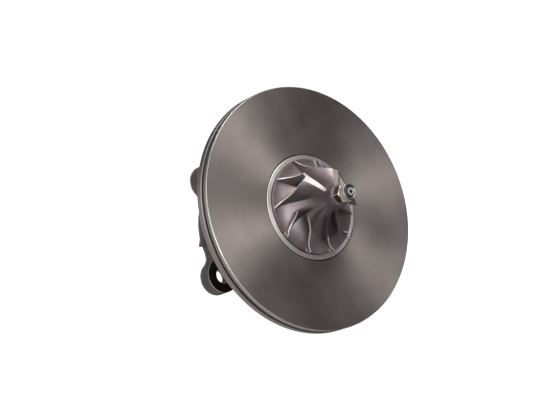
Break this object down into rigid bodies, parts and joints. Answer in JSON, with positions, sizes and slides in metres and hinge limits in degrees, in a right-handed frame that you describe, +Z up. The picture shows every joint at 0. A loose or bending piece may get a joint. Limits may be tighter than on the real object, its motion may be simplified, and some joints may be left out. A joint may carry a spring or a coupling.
{
  "type": "turbocharger cartridge",
  "caption": "Turbocharger centre cartridge: bladed compressor and turbine wheels on one shaft in floating bushes, in a bearing housing with a large grooved disc and a lugged turbine flange.",
  "frame": {"origin": "on the shaft axis, in the front face of the compressor-side disc", "axes": "+Y along the shaft from the compressor to the turbine, +Z up to the oil inlet, +X to the right seen from the compressor"},
  "size_m": [0.1185, 0.108, 0.1184],
  "materials": {
    "housing_iron": "cast iron, turned on the disc and its edge",
    "machined_plate": "bright turned",
    "seal_rubber": "smooth black",
    "screw_steel": "oiled black steel",
    "sheet_steel": "pressed sheet",
    "bearing_bronze": "machined bronze",
    "ring_iron": "ground",
    "shield_steel": "pressed stainless sheet",
    "shaft_steel": "ground",
    "wheel_aluminium": "as cast, blade edges turned bright",
    "nut_steel": "yellow plated, turned",
    "turbine_alloy": "as cast nickel alloy"
  },
  "bodies": {
    "housing": {"bearing_housing": "housing_iron", "seal_plate": "machined_plate", "seal_plate_o_ring": "seal_rubber", "seal_plate_screws": "screw_steel", "oil_deflector": "sheet_steel", "thrust_bearing": "bearing_bronze", "thrust_bearing_pins": "screw_steel", "compressor_piston_ring": "ring_iron", "turbine_piston_ring": "ring_iron", "bearing_circlips": "screw_steel", "heat_shield": "shield_steel"},
    "rotor": {"rotor_shaft": "shaft_steel", "thrust_collar": "shaft_steel", "flinger_sleeve": "shaft_steel", "compressor_wheel": "wheel_aluminium", "compressor_nut": "nut_steel", "turbine_wheel": "turbine_alloy"},
    "compressor_bush": {"compressor_journal_bush": "bearing_bronze"},
    "turbine_bush": {"turbine_journal_bush": "bearing_bronze"}
  },
  "joints": [
    {"name": "rotor_spin", "type": "hinge", "parent": "housing", "child": "rotor", "pos_m": [0, 0, 0], "axis": [0, 1, 0], "continuous": true},
    {"name": "compressor_bush_spin", "type": "hinge", "parent": "housing", "child": "compressor_bush", "pos_m": [0, 0.0221, 0], "axis": [0, 1, 0], "continuous": true},
    {"name": "turbine_bush_spin", "type": "hinge", "parent": "housing", "child": "turbine_bush", "pos_m": [0, 0.0419, 0], "axis": [0, 1, 0], "continuous": true}
  ]
}
